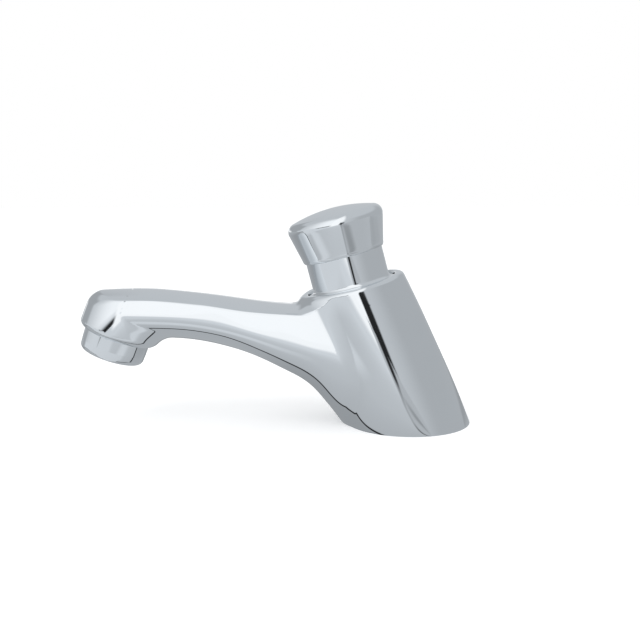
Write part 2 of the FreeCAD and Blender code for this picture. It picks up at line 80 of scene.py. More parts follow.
CAP_PLAY = 0.3           # gap between the cap's bore and the sleeve
CAP_CEILING = 26.0
CAP_FOOT_OUT = 0.22      # the cap's rounded foot ends this far outside its low radius
CAP_FOOT_H = 1.4         # and this high above its lower end
CAP_RIM_IN = 0.07        # the wall meets the shoulder's round this far inside the widest radius
CAP_STEM_R = 5.6
AERATOR_R = 12.2
AERATOR_L = 8.4
AERATOR_FOOT = 1.9       # size of the round at the ring's foot
AERATOR_BORE_R = 8.2
AERATOR_TOP = -0.15
AERATOR_FLATS = 22.4     # across the two spanner flats
FLATS_TOP = -4.6
NOZZLE_R = 10.98
NOSE_R = 14.6
NOSE_CURVE = 1.2         # the nose is this much slimmer at the height below, ever faster towards its top
NOSE_CURVE_H = 17.0
NOSE_CURVE_POWER = 2.2
NOSE_LIP = 2.2
NOSE_EDGE = 2.2          # the round along the nose's top edge grows by this between two distances out
NOSE_EDGE_OUT = (108, 118)
NOSE_BLEND = 0.1         # least blend between the nose and the flanks
NOSE_BLEND_MID = 5       # what is added to it in the middle
NOSE_BLEND_SIDE = 14     # and more towards the sides
NOSE_BLEND_TOP = 43      # height above which nothing is added
NOSE_BLEND_FADE = 6
BASE_R = 24.0
GASKET_R_IN = 18.0
GASKET_R_OUT = 21.5
GASKET_T = 1.6
TAIL_R = 10.48
FLANK_SOFT = 0.22        # how gently the side wall turns under
FLANK_START = -12        # the flanks begin at this y, inside the column
SPOUT_EDGE = 1.2         # round along the spout's top edges
EDGE_FADE = (-1, 7)      # distances from the column between which that round grows
SADDLE = 5.0             # blend between the spout's top and the column, in the middle
SHOULDER = 8.0           # the same blend at the spout's top edges
SHOULDER_OUT = (4, 14)   # distances from the middle between which one becomes the other
CREASE = 14.0            # blend between the spout's flanks and the column
TOE = 4.5                # the same blend at the foot
TOE_H = (8, 30)          # heights between which one becomes the other
CLOSING_R = 21           # half width towards which both shrink, as the two walls meet more flatly
CLOSING = 0.95
COLUMN_SPAN = (-8, 62)   # heights over which the column's levels are followed
COLUMN_SLOPE = 0.96      # makes up for the column's taper in distances

# column levels: centre z, centre y, share of the full tilt, radius
LEVELS = np.array([
    (0.0, 0.0, 0.0, 24.0),
    (14.0, -5.25, 0.25, 23.0),
    (28.0, -11.05, 0.52, 21.9),
    (41.5, -16.7, 0.80, 20.8),
    (53.42, -21.83, 1.0, 19.75),
])
# spout stations: y, crown z, drop of the top edge, half width at the top and at the widest level,
# keel z, share of the depth above the widest level
STATIONS = np.array([
    (-12.0, 41.5, 1.8, 15.0, 18.6, 3.4, 0.42),
    (-22.0, 43.4, 1.7, 16.2, 18.7, -0.6, 0.40),
    (-29.0, 44.3, 1.6, 16.5, 18.2, 5.2, 0.42),
    (-36.0, 44.8, 1.5, 16.1, 17.5, 13.6, 0.48),
    (-46.0, 45.4, 1.6, 15.4, 16.4, 20.4, 0.50),
    (-58.0, 46.8, 2.0, 14.9, 15.7, 26.4, 0.48),
    (-70.0, 48.6, 2.15, 14.8, 15.3, 30.5, 0.44),
    (-84.0, 50.4, 2.35, 14.3, 14.85, 33.1, 0.42),
    (-97.0, 51.5, 2.4, 13.9, 14.6, 33.6, 0.42),
    (-104.0, 51.6, 2.4, 13.75, 14.45, 33.8, 0.42),
    (-126.0, 50.6, 2.4, 13.6, 14.3, 33.8, 0.42),
])


# smooth curves through the named levels and stations
def bends(h, y):
    """Second slopes of the natural cubic curve with these steps and values."""
    n = len(y)
    m = np.zeros((n, n))
    v = np.zeros(n)
    m[0, 0] = m[-1, -1] = 1.0
    for i in range(1, n - 1):
        m[i, i - 1] = h[i - 1]
        m[i, i] = 2 * (h[i - 1] + h[i])
        m[i, i + 1] = h[i]
        v[i] = 6 * ((y[i + 1] - y[i]) / h[i] - (y[i] - y[i - 1]) / h[i - 1])
    return np.linalg.solve(m, v)


def spline(knots, values):
    """Natural cubic curve through the points, straight beyond both ends."""
    x = np.asarray(knots, float)
    y = np.asarray(values, float)
    h = np.diff(x)
    k = bends(h, y)
    first = (y[1] - y[0]) / h[0] - h[0] * k[1] / 6
    last = (y[-1] - y[-2]) / h[-1] + h[-1] * k[-2] / 6

    def curve(q):
        i = np.clip(np.searchsorted(x, q) - 1, 0, len(x) - 2)
        a = (x[i + 1] - q) / h[i]
        b = (q - x[i]) / h[i]
        bent = ((a ** 3 - a) * k[i] + (b ** 3 - b) * k[i + 1]) * h[i] ** 2 / 6
        inside = a * y[i] + b * y[i + 1] + bent
        before = y[0] + first * (q - x[0])
        after = y[-1] + last * (q - x[-1])
        return np.where(q < x[0], before, np.where(q > x[-1], after, inside))

    return curve


level_y = spline(LEVELS[:, 0], LEVELS[:, 1])
level_tilt = spline(LEVELS[:, 0], LEVELS[:, 2] * TILT)
level_r = spline(LEVELS[:, 0], LEVELS[:, 3])
by_y = STATIONS[::-1]
crown_at, drop_at, top_at, wide_at, keel_at, share_at = [spline(by_y[:, 0], by_y[:, i]) for i in range(1, 7)]


# forms as fields: below zero inside, above zero outside, in millimetres
def both(a, b, r):
    """Common part of two forms, its outer edge rounded."""
    return np.minimum(-r, np.maximum(a, b)) + np.hypot(np.maximum(r + a, 0), np.maximum(r + b, 0))


def either(a, b, r):
    """Two forms joined, with a concave blend between them."""
    return np.maximum(r, np.minimum(a, b)) - np.hypot(np.maximum(r - a, 0), np.maximum(r - b, 0))


def step(v, low, high):
    """0 below low, 1 above high, smooth between."""
    t = np.clip((v - low) / (high - low), 0, 1)
    return t * t * (3 - 2 * t)


def tilted(y, z, origin, up):
    """Place in a plane that leans: distance across its axis, and height along it."""
    h = (y - origin[1]) * up[1] + (z - origin[2]) * up[2]
    side = (y - origin[1]) * up[2] - (z - origin[2]) * up[1]
    return side, h


def column(x, y, z):
    """Distance outside the leaning column, measured in the tilted circle's own plane."""
    t = z
    for _ in range(6):
        angle = level_tilt(t)
        off = (z - t) * np.cos(angle) - (y - level_y(t)) * np.sin(angle)
        t = np.clip(t + off / (np.cos(angle) + 0.4 * np.sin(angle)), *COLUMN_SPAN)
    angle = level_tilt(t)
    side = (y - level_y(t)) * np.cos(angle) + (z - t) * np.sin(angle)
    wall = np.hypot(x, side) - level_r(t)
    return wall * COLUMN_SLOPE


def flank(x, z, edge, half_top, half_wide, keel, share):
    """Distance outside the spout's flanks: a slightly leaning wall that turns under to a rounded keel."""
    depth = edge - keel
    v = ((edge - z) / depth - share) / (1 - share)

    def turn(t):
        return 0.5 * (t + np.sqrt(t * t + FLANK_SOFT ** 2))

    q = turn(v) / turn(1.0)
    lean = (half_wide - half_top) * (1 - share) / share
    width = half_wide - lean * turn(-v)
    level = np.sqrt((x / width) ** 2 + q * q) - 1
    dq = 0.5 * (1 + v / np.sqrt(v * v + FLANK_SOFT ** 2)) / turn(1.0) / (depth * (1 - share))
    g = np.hypot(x / width ** 2, q * dq) / (level + 1)
    return level / np.maximum(g, 0.02)


def spout(x, y, z):
    """Distance outside the spout's crown and outside its flanks."""
    crown = crown_at(y)
    drop = drop_at(y)
    half_top = top_at(y)
    top = (z - crown + drop * (x / half_top) ** 2) / np.sqrt(1 + (2 * drop * x / half_top ** 2) ** 2)
    side = flank(x, z, crown - drop, half_top, wide_at(y), keel_at(y), share_at(y))
    return top, side


def nose(x, y, z, top):
    """Distance outside the round end of the spout, and distance in front of its axis."""
    side, h = tilted(y, z, OUTLET, OUTLET_UP)
    slimmer = NOSE_CURVE * (np.maximum(h, 0) / NOSE_CURVE_H) ** NOSE_CURVE_POWER
    wall = np.hypot(x, side) - NOSE_R + slimmer
    edge = SPOUT_EDGE + NOSE_EDGE * step(-y, *NOSE_EDGE_OUT)
    return both(both(wall, top, edge), -h, NOSE_LIP), -side


def nose_blend(x, z):
    """Size of the blend between the nose and the flanks."""
    across = (x / NOSE_R) ** 2
    under = np.maximum(1 - across, 0) * (NOSE_BLEND_MID + NOSE_BLEND_SIDE * across)
    return NOSE_BLEND + under * step(NOSE_BLEND_TOP - z, 0, NOSE_BLEND_FADE)


def casting(p):
    """Distance outside the whole body casting."""
    x, y, z = p[..., 0], p[..., 1], p[..., 2]
    top, side = spout(x, y, z)
    end, ahead = nose(x, y, z, top)
    off, h = tilted(y, z, FLANGE, BUTTON_UP)
    r = np.hypot(x, off)
    post = both(column(x, y, z), h - RIM_H, RIM_ROUND)
    crown = either(top, post, SADDLE + (SHOULDER - SADDLE) * step(np.abs(x), *SHOULDER_OUT))
    open_angle = 1 - np.minimum(np.abs(x) / CLOSING_R, CLOSING)
    crease = (TOE + (CREASE - TOE) * step(z, *TOE_H)) * open_angle
    wall = either(np.maximum(side, y - FLANK_START), post, crease)
    edge = SPOUT_EDGE * step(post - np.maximum(top, side), *EDGE_FADE)
    shell = np.maximum(both(crown, wall, edge), ahead)
    shell = either(shell, end, nose_blend(x, z))
    shell = both(shell, np.minimum(RECESS_R - r, h + FLANGE_T), RECESS_LIP)
    return np.maximum(shell, np.minimum(BORE_R - r, h + BORE_DEPTH))


def gradient(field, p, d=0.02):
    out = np.empty_like(p)
    for i in range(3):
        q = p.copy()
        q[..., i] += d
        ahead = field(q)
        q[..., i] -= 2 * d
        out[..., i] = (ahead - field(q)) / (2 * d)
    return out


# a field's surface as a mesh
def sample(field, low, high, pitch):
    """Grid of points over the box, and the field's value at each."""
    low = np.asarray(low, float)
    count = np.ceil((np.asarray(high, float) - low) / pitch).astype(int) + 1
    axes = [low[i] + pitch * np.arange(count[i]) for i in range(3)]
    grid = np.stack(np.meshgrid(*axes, indexing="ij"), -1)
    value = np.empty(count)
    for i in range(count[0]):
        value[i] = field(grid[i])
    return grid, value


def along(axis, part, rest=slice(None)):
    """Index of a grid that takes part along one axis and rest along the others."""
    index = [rest] * 3
    index[axis] = part
    return tuple(index)


def cell_points(grid, value, pitch):
    """One point to each cell that the surface crosses, and each cell's place in that list."""
    inside = value < 0
    cells = tuple(n - 1 for n in value.shape)
    place = np.zeros(cells + (3,))
    crossings = np.zeros(cells)
    for axis in range(3):
        a = along(axis, slice(0, -1))
        b = along(axis, slice(1, None))
        cross = inside[a] != inside[b]
        t = np.where(cross, value[a] / np.where(cross, value[a] - value[b], 1), 0)
        point = grid[a].copy()
        point[..., axis] += t * pitch
        first, second = [i for i in range(3) if i != axis]
        for da in (0, 1):
            for db in (0, 1):
                s = [slice(None)] * 3
                s[first] = slice(da, da + cells[first])
                s[second] = slice(db, db + cells[second])
                s = tuple(s)
                crossings += cross[s]
                place += point[s] * cross[s][..., None]
    used = crossings > 0
    index = np.full(cells, -1)
    index[used] = np.arange(used.sum())
    return place[used] / crossings[used][:, None], index


def cell_quads(value, index):
    """A quad round each grid edge that the surface crosses, facing out."""
    inside = value < 0
    quads = []
    for axis in range(3):
        b, c = [(1, 2), (2, 0), (0, 1)][axis]
        here = inside[along(axis, slice(0, -1), slice(1, -1))]
        there = inside[along(axis, slice(1, None), slice(1, -1))]
        for flip in (False, True):
            hit = np.argwhere((~here & there) if flip else (here & ~there))
            cell = hit + 1
            cell[:, axis] -= 1
            ring = []
            for db, dc in ((-1, -1), (0, -1), (0, 0), (-1, 0)):
                q = cell.copy()
                q[:, b] += db
                q[:, c] += dc
                ring.append(index[q[:, 0], q[:, 1], q[:, 2]])
            if flip:
                ring = ring[::-1]
            quads.append(np.stack(ring, 1))
    return np.concatenate(quads)


def surface_net(field, low, high, pitch):
    """Quads where the field crosses zero, their points then set on the surface itself."""
    grid, value = sample(field, low, high, pitch)
    points, index = cell_points(grid, value, pitch)
    quads = cell_quads(value, index)
    for _ in range(4):
        g = gradient(field, points)
        f = field(points)
        points = points - g * (f / np.maximum((g ** 2).sum(-1), 0.05))[:, None]
    return points, quads


def unit(v):
    return v / np.maximum(np.linalg.norm(v, axis=-1, keepdims=True), 1e-9)


# pieces
def new_piece(name, verts_mm, faces, normals):
    mesh = bpy.data.meshes.new(name)
    mesh.from_pydata((np.asarray(verts_mm) * MM).tolist(), [], [list(map(int, f)) for f in faces])
    mesh.validate()
    mesh.update()
    mesh.polygons.foreach_set("use_smooth", [True] * len(mesh.polygons))
    mesh.normals_split_custom_set_from_vertices(normals.tolist())
    obj = bpy.data.objects.new(name, mesh)
    bpy.context.scene.collection.objects.link(obj)
    return obj


def finish_piece(obj, body, slot, material, *nodes):
    obj.data.materials.append(material)
    if nodes:
        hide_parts(*nodes)
    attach(obj, body)


def axis_frame(origin, up):
    """Matrix whose Z is up and whose X is the model's X."""
    z = Vector(up)
    x = Vector((1, 0, 0))
    y = z.cross(x)
    m = Matrix((x, y, z)).transposed().to_4x4()
    m.translation = Vector(origin)
    return m


def arc_points(a, m, b, n):
    """Points on the circle through three (r, h) points, a to b."""
    ax, ay = a
    bx, by = m
    cx, cy = b
    a2 = ax ** 2 + ay ** 2
    b2 = bx ** 2 + by ** 2
    c2 = cx ** 2 + cy ** 2
    d = 2 * (ax * (by - cy) + bx * (cy - ay) + cx * (ay - by))
    ux = (a2 * (by - cy) + b2 * (cy - ay) + c2 * (ay - by)) / d
    uy = (a2 * (cx - bx) + b2 * (ax - cx) + c2 * (bx - ax)) / d
    r = math.hypot(ax - ux, ay - uy)
    t0 = math.atan2(ay - uy, ax - ux)
    tm = math.atan2(by - uy, bx - ux)
    t1 = math.atan2(cy - uy, cx - ux)
    turn = (t1 - t0) % (2 * math.pi)
    if (tm - t0) % (2 * math.pi) > turn:
        turn -= 2 * math.pi
    angles = [t0 + turn * i / n for i in range(n + 1)]
    return [(ux + r * math.cos(t), uy + r * math.sin(t)) for t in angles]


def hoop(r, h, out, sides, flats, closed):
    """One ring of a turned piece, with its normals; out is the run's own direction there.

    closed says that the run has only two points, as a flat face has.
    """
    nr, nh = out
    if r < 1e-6:
        nr, nh = 0.0, math.copysign(1.0, nh)
    r = max(r, 1e-4)
    verts, normals = [], []
    for a in np.arange(sides) * 2 * math.pi / sides:
        x = r * math.cos(a)
        if flats and h < flats[1] and abs(x) > flats[0]:
            side = math.copysign(1.0, x)
            verts.append((side * flats[0], r * math.sin(a), h))
            normals.append((0.0, 0.0, -1.0) if closed else (side, 0.0, 0.0))
        else:
            verts.append((x, r * math.sin(a), h))
            normals.append((nr * math.cos(a), nr * math.sin(a), nh))
    return verts, normals


def lathe(name, runs, origin, up, sides=160, flats=None):
    """Turned piece: each run is a smooth stretch of (r, h) points, with a sharp edge between runs.

    flats is half the width across two spanner flats, and the height below which they are cut.
    """
    verts, faces, normals = [], [], []
    for run in runs:
        p = np.asarray(run, float)
        d = np.gradient(p, axis=0)
        n = unit(np.stack([d[:, 1], -d[:, 0]], 1))
        start = len(verts)
        for (r, h), out in zip(p, n):
            more, turned = hoop(r, h, out, sides, flats, len(p) == 2)
            verts += more
            normals += turned
        for i in range(len(p) - 1):
            a, b = start + i * sides, start + (i + 1) * sides
            for j in range(sides):
                k = (j + 1) % sides
                faces.append((a + j, a + k, b + k, b + j))
    m = axis_frame(origin, up)
    rot = np.array(m.to_3x3())
    verts = np.asarray(verts) @ rot.T + np.array(m.translation)
    normals = np.asarray(normals) @ rot.T
    return new_piece(name, verts, faces, normals)


# materials
def node_material(name):
    mat = bpy.data.materials.new(name)
    mat.use_nodes = True
    tree = mat.node_tree
    return mat, tree, tree.nodes["Principled BSDF"]


def noise(tree, scale, detail):
    coords = tree.nodes.new("ShaderNodeTexCoord")
    tex = tree.nodes.new("ShaderNodeTexNoise")
    tex.inputs["Scale"].default_value = scale
    tex.inputs["Detail"].default_value = detail
    tree.links.new(coords.outputs["Object"], tex.inputs["Vector"])
    return tex.outputs["Fac"]


def ramp(tree, source, stops):
    r = tree.nodes.new("ShaderNodeValToRGB")
    for e, (pos, col) in zip(r.color_ramp.elements, stops):
        e.position = pos
        e.color = (*col, 1) if len(col) == 3 else (col[0], col[0], col[0], 1)
    tree.links.new(source, r.inputs["Fac"])
    return r.outputs["Color"]


def bump(tree, source, bsdf, strength):
    b = tree.nodes.new("ShaderNodeBump")
    b.inputs["Strength"].default_value = strength
    b.inputs["Distance"].default_value = 0.0002
    tree.links.new(source, b.inputs["Height"])
    tree.links.new(b.outputs["Normal"], bsdf.inputs["Normal"])


def metal(name, dark, light, rough_low, rough_high, scale, grain=0.0):
    mat, tree, bsdf = node_material(name)
    bsdf.inputs["Metallic"].default_value = 1.0
    cloud = noise(tree, scale, 2.0)
    tree.links.new(ramp(tree, cloud, [(0.3, dark), (0.7, light)]), bsdf.inputs["Base Color"])
    fine = noise(tree, scale * 6, 4.0)
    rough = ramp(tree, fine, [(0.35, (rough_low,)), (0.65, (rough_high,))])
    tree.links.new(rough, bsdf.inputs["Roughness"])
    if grain:
        bump(tree, noise(tree, scale * 40, 5.0), bsdf, grain)
    return mat


def dull(name, dark, light, rough_low, rough_high, scale, grain):
    mat, tree, bsdf = node_material(name)
    cloud = noise(tree, scale, 4.0)
    tree.links.new(ramp(tree, cloud, [(0.3, dark), (0.7, light)]), bsdf.inputs["Base Color"])
    rough = ramp(tree, cloud, [(0.3, (rough_low,)), (0.7, (rough_high,))])
    tree.links.new(rough, bsdf.inputs["Roughness"])
    bump(tree, noise(tree, scale * 10, 4.0), bsdf, grain)
    return mat


chrome = metal("chrome", (0.885, 0.91, 0.93), (0.905, 0.93, 0.95), 0.03, 0.05, 40)
brass = metal("brass", (0.60, 0.42, 0.18), (0.72, 0.53, 0.26), 0.22, 0.34, 90, 0.15)
steel = metal("steel", (0.55, 0.55, 0.56), (0.66, 0.66, 0.67), 0.24, 0.36, 120, 0.12)
rubber = dull("black_rubber", (0.012, 0.012, 0.013), (0.030, 0.030, 0.032), 0.55, 0.75, 150, 0.25)
plastic = dull("white_plastic", (0.66, 0.66, 0.64), (0.76, 0.76, 0.75), 0.35, 0.5, 120, 0.1)
BY_SLOT = {"chrome": chrome, "brass": brass, "steel": steel, "black_rubber": rubber, "white_plastic": plastic}


# body casting
def half_skin():
    """Mesh of the casting's half with x above zero, cut flat at the mirror plane and at the foot."""
    pitch = 0.5
    points, quads = surface_net(casting, (-pitch * 0.5, -126.5, -1.6), (25.5, 26.5, 60.0), pitch)
    quads = quads[points[quads][:, :, 0].min(axis=1) > -pitch]
    used = np.unique(quads)
    order = np.full(len(points), -1)
    order[used] = np.arange(len(used))
    mesh = bpy.data.meshes.new("body_half")
    mesh.from_pydata(points[used].tolist(), [], order[quads].tolist())
    bm = bmesh.new()
    bm.from_mesh(mesh)
    for no in ((1, 0, 0), (0, 0, 1)):
        geom = bm.verts[:] + bm.edges[:] + bm.faces[:]
        bmesh.ops.bisect_plane(bm, geom=geom, plane_co=(0, 0, 0), plane_no=no, clear_inner=True, dist=1e-5)
    return mesh, bm


def mirror(bm):
    """Add the other half, joined along the mirror plane."""
    copy = bmesh.ops.duplicate(bm, geom=bm.verts[:] + bm.edges[:] + bm.faces[:])
    for v in [g for g in copy["geom"] if isinstance(g, bmesh.types.BMVert)]:
        v.co.x = -v.co.x
    turned = [g for g in copy["geom"] if isinstance(g, bmesh.types.BMFace)]
    bmesh.ops.reverse_faces(bm, faces=turned)
    on_line = [v for v in bm.verts if abs(v.co.x) < 1e-3]
    bmesh.ops.remove_doubles(bm, verts=on_line, dist=1e-3)


def tap_body():
    mesh, bm = half_skin()
    mirror(bm)
    bm.to_mesh(mesh)
    bm.free()
    co = np.empty(len(mesh.vertices) * 3)
    mesh.vertices.foreach_get("co", co)
    co = co.reshape(-1, 3)
    normals = unit(gradient(casting, co))
    faces = [tuple(p.vertices) for p in mesh.polygons]
    skin = new_piece("tap_body_skin", co, faces, normals)
    finish_piece(skin, "tap", "chrome", chrome, "tap_body")


def tap_foot():
    """Underside of the casting, with the groove for the gasket."""
    under = lathe("tap_body_underside", [
        [(BASE_R - 0.01, 0.0), (GASKET_R_OUT, 0.0)],
        [(GASKET_R_OUT, 0.0), (GASKET_R_OUT, GASKET_T)],
        [(GASKET_R_OUT, GASKET_T), (GASKET_R_IN, GASKET_T)],
        [(GASKET_R_IN, GASKET_T), (GASKET_R_IN, 0.0)],
        [(GASKET_R_IN, 0.0), (TAIL_R, 0.0)],
    ], (0, 0, 0), (0, 0, 1))
    finish_piece(under, "tap", "brass", brass)


# guide sleeve, button and aerator ring
def guide_sleeve():
    bore = SLEEVE_R - SLEEVE_WALL
    low = -FLANGE_T
    edge = (FLANGE_EDGE, -FLANGE_DROP)
    edge_round = arc_points(edge, (FLANGE_EDGE - 0.08, -0.07), (FLANGE_EDGE - 0.3, 0.02), 5)
    root = arc_points((SLEEVE_R + 1.55, 0.12), (SLEEVE_R + 0.42, 0.75), (SLEEVE_R, 2.0), 14)
    bevel = (SLEEVE_R, SLEEVE_TOP - SLEEVE_BEVEL)
    rim = (SLEEVE_R - SLEEVE_BEVEL, SLEEVE_TOP)
    sleeve = lathe("guide_sleeve_turned", [
        [(bore, low), (FLANGE_EDGE, low)],
        [(FLANGE_EDGE, low), edge] + edge_round[1:] + root + [(SLEEVE_R, 5.0), bevel],
        [bevel, rim],
        [rim, (bore, SLEEVE_TOP)],
        [(bore, SLEEVE_TOP), (bore, low)],
    ], FLANGE, BUTTON_UP)
    finish_piece(sleeve, "tap", "chrome", chrome, "guide_sleeve")


def cap_outline():
    """The cap from its bore's lower edge round its foot, wall and shoulder to the top of its dome."""
    bore = SLEEVE_R + CAP_PLAY
    foot = (bore + 0.25, CAP_LOW_H)
    foot_in = arc_points((bore, CAP_LOW_H + 0.15), (bore + 0.12, CAP_LOW_H + 0.02), foot, 4)
    low_r = CAP_LOW_R + CAP_FOOT_OUT
    foot_out = arc_points(foot, (CAP_LOW_R + 0.02, CAP_LOW_H + 0.45), (low_r, CAP_LOW_H + CAP_FOOT_H), 8)
    wide = CAP_WIDE_R - CAP_LOW_R - CAP_FOOT_OUT - CAP_RIM_IN
    tall = CAP_WIDE_H - CAP_LOW_H - CAP_FOOT_H
    wall = [(low_r + wide * t, CAP_LOW_H + CAP_FOOT_H + tall * t) for t in (0.1, 0.5, 0.9)]
    edge = (CAP_WIDE_R - CAP_SHOULDER, CAP_TOP_H - CAP_DOME)
    rim = (CAP_WIDE_R - CAP_RIM_IN, CAP_WIDE_H)
    shoulder = arc_points(rim, (CAP_WIDE_R - 0.72, CAP_WIDE_H + 2.4), edge, 14)
    dome_r = (edge[0] ** 2 + CAP_DOME ** 2) / (2 * CAP_DOME)
    half = math.asin(edge[0] / dome_r) / 2
    middle = (dome_r * math.sin(half), CAP_TOP_H - dome_r * (1 - math.cos(half)))
    dome = arc_points(edge, middle, (0, CAP_TOP_H), 16)
    return foot_in + foot_out[1:] + wall + shoulder + dome[1:]


def button_cap():
    bore = SLEEVE_R + CAP_PLAY
    cap = lathe("button_cap_turned", [
        cap_outline(),
        [(bore, CAP_CEILING), (bore, CAP_LOW_H + 0.15)],
        [(CAP_STEM_R, CAP_CEILING), (bore, CAP_CEILING)],
    ], FLANGE, BUTTON_UP)
    finish_piece(cap, "push_button", "chrome", chrome, "button_cap")


def aerator_ring():
    """Turned ring with two spanner flats on its lower part."""
    low = -AERATOR_L
    low_r = AERATOR_R - AERATOR_FOOT
    step_r = AERATOR_R - 0.12
    foot = arc_points((low_r, low), (AERATOR_R - 0.75, low + 0.7), (AERATOR_R - 0.25, low + AERATOR_FOOT), 10)
    under = (step_r - 0.03, FLATS_TOP - 0.001)
    rim = (AERATOR_R - 0.2, AERATOR_TOP)
    ring = lathe("aerator_ring", [
        foot + [(step_r - 0.05, FLATS_TOP - 0.3), under],
        [under, (step_r, FLATS_TOP)],
        [(step_r, FLATS_TOP), (AERATOR_R - 0.06, -2.5), (AERATOR_R, -0.35)],
        [(AERATOR_R, -0.35), rim],
        [rim, (NOZZLE_R, AERATOR_TOP)],
        [(AERATOR_BORE_R, low), (low_r, low)],
        [(AERATOR_BORE_R, low + 0.9), (AERATOR_BORE_R, low)],
    ], OUTLET, OUTLET_UP, 320, (AERATOR_FLATS / 2, FLATS_TOP))
    finish_piece(ring, "tap", "chrome", chrome, "aerator_housing")


def return_spring():
    """The spring in its own place, a copy of the CAD node's mesh."""
    node = frame["nodes"]["return_spring"]
    mesh = node.data.copy()
    mesh.transform(node.matrix_world)
    mesh.materials.clear()
    obj = bpy.data.objects.new("return_spring_coil", mesh)
    bpy.context.scene.collection.objects.link(obj)
    finish_piece(obj, "tap", "steel", steel, "return_spring")
    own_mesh(obj)


def finish_cad_nodes():
    """The CAD's own pieces get the finish of their slot."""
    for part in frame["record"]["subparts"]:
        node = frame["nodes"][part["node"]]
        finish = BY_SLOT[part["material_slot"]]
        if not node.data.materials:
            node.data.materials.append(finish)
        for slot in node.material_slots:
            slot.link = "OBJECT"
            slot.material = finish


# camera
PICTURE = 640            # width of the photo in pixels
SENSOR = 36


def camera(azimuth, elevation, distance, focal_px, target):
    a, e = math.radians(azimuth), math.radians(elevation)
    back = Vector((math.sin(a) * math.cos(e), -math.cos(a) * math.cos(e), math.sin(e)))
    right = Vector((math.cos(a), math.sin(a), 0))
    up = back.cross(right)
    cam = bpy.data.objects.new("camera", bpy.data.cameras.new("camera"))
    bpy.context.scene.collection.objects.link(cam)
    m = Matrix((right, up, back)).transposed().to_4x4()
    m.translation = (Vector(target) + back * distance) * MM
    cam.matrix_world = m
    cam.data.sensor_width = SENSOR
    cam.data.lens = focal_px * SENSOR / PICTURE
    cam.data.clip_start = 0.01
    cam.data.dof.use_dof = False
    bpy.context.scene.camera = cam


# sums and soft edges in a node tree
def math_node(tree, operation, a, b=None, clamp=False):
    n = tree.nodes.new("ShaderNodeMath")
    n.operation = operation
    n.use_clamp = clamp
    for i, v in enumerate((a, b)):
        if v is None:
            continue
        if isinstance(v, (int, float)):
            n.inputs[i].default_value = v
        else:
            tree.links.new(v, n.inputs[i])
    return n.outputs[0]


def plus(tree, a, b):
    return math_node(tree, "ADD", a, b)


def minus(tree, a, b):
    return math_node(tree, "SUBTRACT", a, b)


def times(tree, a, b):
    return math_node(tree, "MULTIPLY", a, b)


def over(tree, a, b):
    return math_node(tree, "DIVIDE", a, b)


def beyond(tree, a, b):
    """How far a is above b, and 0 below."""
    return math_node(tree, "MAXIMUM", minus(tree, a, b), 0.0)


def degrees(tree, a):
    return math_node(tree, "DEGREES", a)


def line_step(tree, value, low, high):
    """0 below low, 1 above high, straight between."""
    n = tree.nodes.new("ShaderNodeMapRange")
    n.inputs["From Min"].default_value = low
    n.inputs["From Max"].default_value = high
    tree.links.new(value, n.inputs["Value"])
    return n.outputs["Result"]


def ease(tree, value, low, high):
    """0 below low, 1 above high, smooth between."""
    out = line_step(tree, value, low, high)
    out.node.interpolation_type = "SMOOTHSTEP"
    return out


def window(tree, value, low, high, soft_low, soft_high):
    """1 between low and high, with soft edges."""
    up = ease(tree, value, low - soft_low, low + soft_low)
    down = ease(tree, value, high - soft_high, high + soft_high)
    return math_node(tree, "SUBTRACT", up, down, clamp=True)


def mix(tree, factor, a, b):
    n = tree.nodes.new("ShaderNodeMix")
    n.data_type = "RGBA"
    tree.links.new(factor, n.inputs["Factor"])
    for socket, v in (("A", a), ("B", b)):
        target = [i for i in n.inputs if i.name == socket and i.type == "RGBA"][0]
        if isinstance(v, tuple):
            target.default_value = (*v, 1)
        else:
            tree.links.new(v, target)
    return [o for o in n.outputs if o.type == "RGBA"][0]


def tone(v, cool=1.0):
    """Slightly cool grey of the given brightness."""
    return (v * (1 - 0.045 * cool), v, v * (1 + 0.045 * cool))


# the studio as polished metal sees it, in degrees:
# azimuth 0 is the spout's side and 90 the camera's, elevation is from the horizon
SKY = tone(0.555)
BLACK = tone(0.02)
MATT_LIGHT = (0.82, 0.83, 0.84)
WHITE = (1.0, 1.0, 1.0)
CARDS = [
    # azimuth from, to, soft edges; elevation from, to, soft edges; tone
    ((-75, -12, 8, 5), (-30, 34, 2, 5), tone(0.38)),             # dimmer wall beyond the spout
    ((-22, 75, 6, 3), (-30, 5, 1, 3), tone(0.68)),               # pale wall in front
    ((20, 75, 45, 3), (5, 62, 3, 16), tone(0.98, 0.5)),          # light falling off along it
    ((104, 140, 4, 25), (-30, 34, 1, 8), tone(0.55)),            # grey side behind the tap
    ((128, 245, 22, 12), (-30, 34, 1, 8), tone(0.44)),           # its far end
    ((-100, -52, 6, 6), (-30, 3, 4, 4), tone(1.0, 0.3)),         # bright strip on the far horizon
    ((71, 93.5, 4, 1.2), (-30, 75, 1.5, 22), tone(1.03, 0.3)),   # soft box beside the camera
    ((88, 102, 3, 6), (18, 75, 6, 22), tone(1.0, 0.3)),          # its upper corner
    ((38, 73, 5, 4), (-1.5, 3.0, 1.5, 1.5), BLACK),              # dark foot of the backdrop
    ((94, 105.5, 1.0, 1.8), (-30, 9, 3, 4), BLACK),              # dark gap beside the soft box
]


def compass(tree):
    """Azimuth, the same from -90 round to 270, and elevation of what the world shows."""
    coords = tree.nodes.new("ShaderNodeTexCoord")
    split = tree.nodes.new("ShaderNodeSeparateXYZ")
    tree.links.new(coords.outputs["Generated"], split.inputs[0])
    x, y, z = split.outputs
    azimuth = degrees(tree, math_node(tree, "ARCTAN2", x, times(tree, y, -1.0)))
    elevation = degrees(tree, math_node(tree, "ARCSINE", z))
    turn = times(tree, math_node(tree, "LESS_THAN", azimuth, -90.0), 360.0)
    return azimuth, plus(tree, azimuth, turn), elevation


